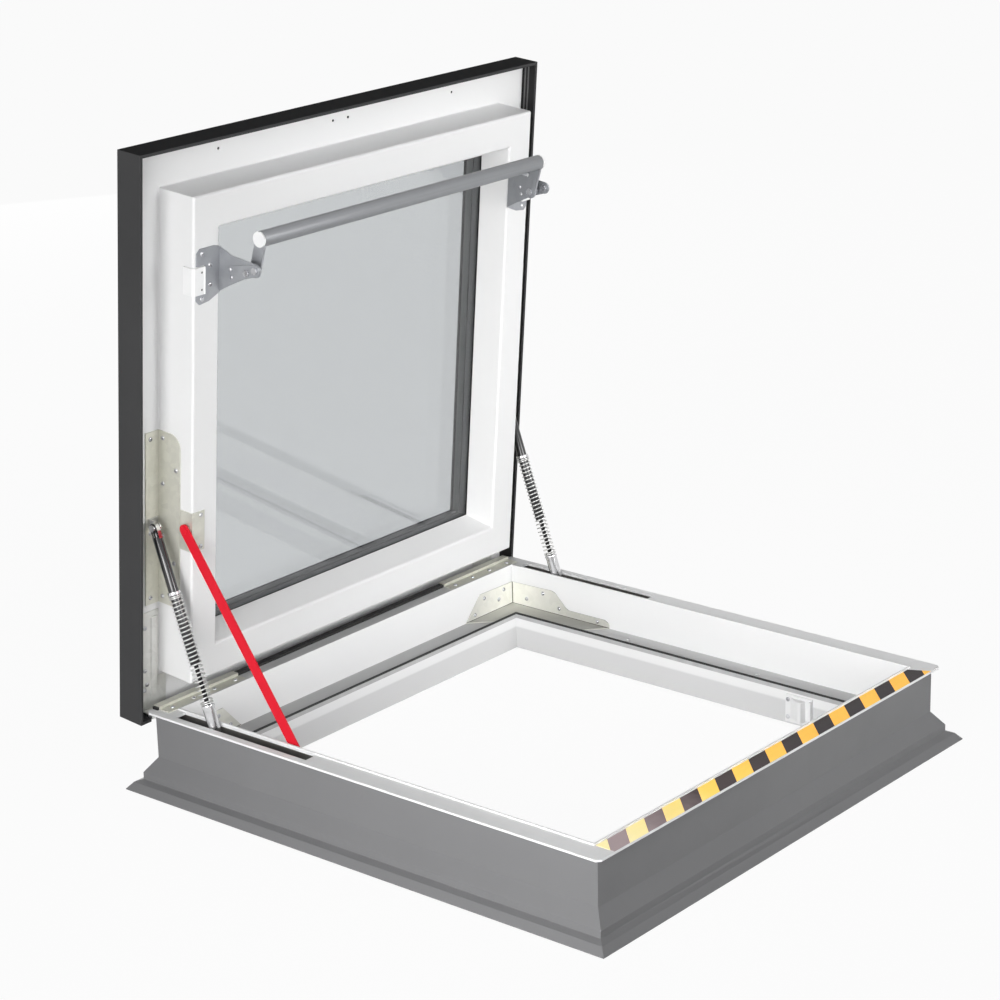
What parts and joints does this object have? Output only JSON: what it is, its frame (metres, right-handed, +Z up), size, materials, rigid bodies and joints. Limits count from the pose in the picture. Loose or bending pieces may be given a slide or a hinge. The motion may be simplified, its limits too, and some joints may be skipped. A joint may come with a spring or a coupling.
{
  "type": "roof skylight",
  "caption": "Flat-roof access skylight: a grey upstand frame with a hinged triple-glazed lid, gas struts with springs, a red stay and a bar handle, shown open.",
  "frame": {"origin": "centre of the frame on its underside, where it sits on the roof", "axes": "+X along the hinge line, +Y from the free side towards the hinge side, +Z up; at rest the lid is open"},
  "size_m": [1.062, 1.0855, 1.1474],
  "materials": {
    "upstand_grey": "satin mid grey coated sheet",
    "white_profile": "smooth white rigid plastic, satin",
    "black_rubber": "matt black rubber",
    "hazard_tape": "textured black and yellow anti-slip tape",
    "galvanised_steel": "galvanised sheet, slightly warm, soft sheen",
    "hinge_zinc": "pale zinc plated hinge leaf, soft sheen",
    "channel_steel": "dark folded sheet",
    "white_moulding": "moulded white plastic",
    "dark_cover": "dark grey powder coat",
    "clear_glass": "clear float glass",
    "spacer_bar": "dull dark grey",
    "zinc_steel": "zinc plated, satin",
    "handle_grey": "satin anodised tube",
    "strut_black": "gloss black",
    "spring_steel": "plain wire",
    "bright_steel": "bright plated",
    "stay_red": "gloss signal red",
    "fastener_zinc": "bright zinc"
  },
  "bodies": {
    "frame": {"outer_upstand": "upstand_grey", "inner_frame": "white_profile", "frame_gasket": "black_rubber", "hinge_side_seal": "black_rubber", "hazard_tape": "hazard_tape", "corner_bracket_left": "galvanised_steel", "corner_bracket_right": "galvanised_steel", "rim_plate_left": "galvanised_steel", "rim_plate_right": "galvanised_steel", "frame_hinge_left": "hinge_zinc", "frame_hinge_right": "hinge_zinc", "hinge_pins": "fastener_zinc", "strut_channel_left": "channel_steel", "strut_channel_right": "channel_steel", "keeper_left": "white_moulding", "keeper_right": "white_moulding", "stay_catch": "galvanised_steel", "frame_screws": "fastener_zinc"},
    "sash": {"cover_frame": "dark_cover", "sash_frame": "white_profile", "inner_pane": "clear_glass", "middle_pane": "clear_glass", "outer_pane": "clear_glass", "inner_spacer": "spacer_bar", "outer_spacer": "spacer_bar", "inner_glazing_gasket": "black_rubber", "outer_glazing_gasket": "black_rubber", "strut_plate_left": "galvanised_steel", "strut_plate_right": "galvanised_steel", "strut_stud_left": "bright_steel", "strut_stud_right": "bright_steel", "sash_hinge_left": "hinge_zinc", "sash_hinge_right": "hinge_zinc", "handle_bracket_left": "zinc_steel", "handle_bracket_right": "zinc_steel", "handle_pivot_plates": "zinc_steel", "handle_stop_bolts": "fastener_zinc", "edge_guide_left": "white_moulding", "edge_guide_right": "white_moulding", "stay_bracket": "galvanised_steel", "sash_screws": "fastener_zinc"},
    "handle": {"handle_tube": "handle_grey", "handle_caps": "white_moulding", "handle_arm_left": "zinc_steel", "handle_arm_right": "zinc_steel", "handle_pivot_bolts": "fastener_zinc"},
    "strut_left_upper": {"strut_cylinder_left": "strut_black", "strut_collar_left": "bright_steel"},
    "strut_left_lower": {"strut_rod_left": "strut_black", "strut_tube_left": "bright_steel", "strut_spring_left": "spring_steel"},
    "strut_right_upper": {"strut_cylinder_right": "strut_black", "strut_collar_right": "bright_steel"},
    "strut_right_lower": {"strut_rod_right": "strut_black", "strut_tube_right": "bright_steel", "strut_spring_right": "spring_steel"},
    "stay": {"stay_bar": "stay_red"}
  },
  "joints": [
    {"name": "sash_hinge", "type": "hinge", "parent": "frame", "child": "sash", "pos_m": [0, 0.505, 0.1295], "axis": [1, 0, 0], "range_deg": [0, 85], "stiffness_Nm_per_rad": 70, "springref_deg": -24.64},
    {"name": "handle_turn", "type": "hinge", "parent": "sash", "child": "handle", "pos_m": [0, 0.31262, 0.9343], "axis": [1, 0, 0], "range_deg": [0, 60]},
    {"name": "strut_left_swing", "type": "hinge", "parent": "sash", "child": "strut_left_upper", "pos_m": [-0.4735, 0.47564, 0.48228], "axis": [1, 0, 0], "range_deg": [0, 17.6]},
    {"name": "strut_left_stroke", "type": "slide", "parent": "strut_left_upper", "child": "strut_left_lower", "axis": [0, 0.3289, 0.9444], "range_m": [0, 0.1151], "deforming": ["strut_spring_left"]},
    {"name": "strut_right_swing", "type": "hinge", "parent": "sash", "child": "strut_right_upper", "pos_m": [0.4735, 0.47564, 0.48228], "axis": [1, 0, 0], "range_deg": [0, 17.6]},
    {"name": "strut_right_stroke", "type": "slide", "parent": "strut_right_upper", "child": "strut_right_lower", "axis": [0, 0.3289, 0.9444], "range_m": [0, 0.1151], "deforming": ["strut_spring_right"]},
    {"name": "stay_swing", "type": "hinge", "parent": "sash", "child": "stay", "pos_m": [-0.4475, 0.42964, 0.48027], "axis": [1, 0, 0], "range_deg": [-144.1, 0]}
  ],
  "couplings": [
    {"joint": "strut_left_swing", "follows": "sash_hinge", "ratio": 0.20588},
    {"joint": "strut_left_stroke", "follows": "sash_hinge", "m_per_rad": 0.077518},
    {"joint": "strut_right_swing", "follows": "sash_hinge", "ratio": 0.20588},
    {"joint": "strut_right_stroke", "follows": "sash_hinge", "m_per_rad": 0.077518},
    {"joint": "stay_swing", "follows": "sash_hinge", "ratio": -1.6941}
  ]
}
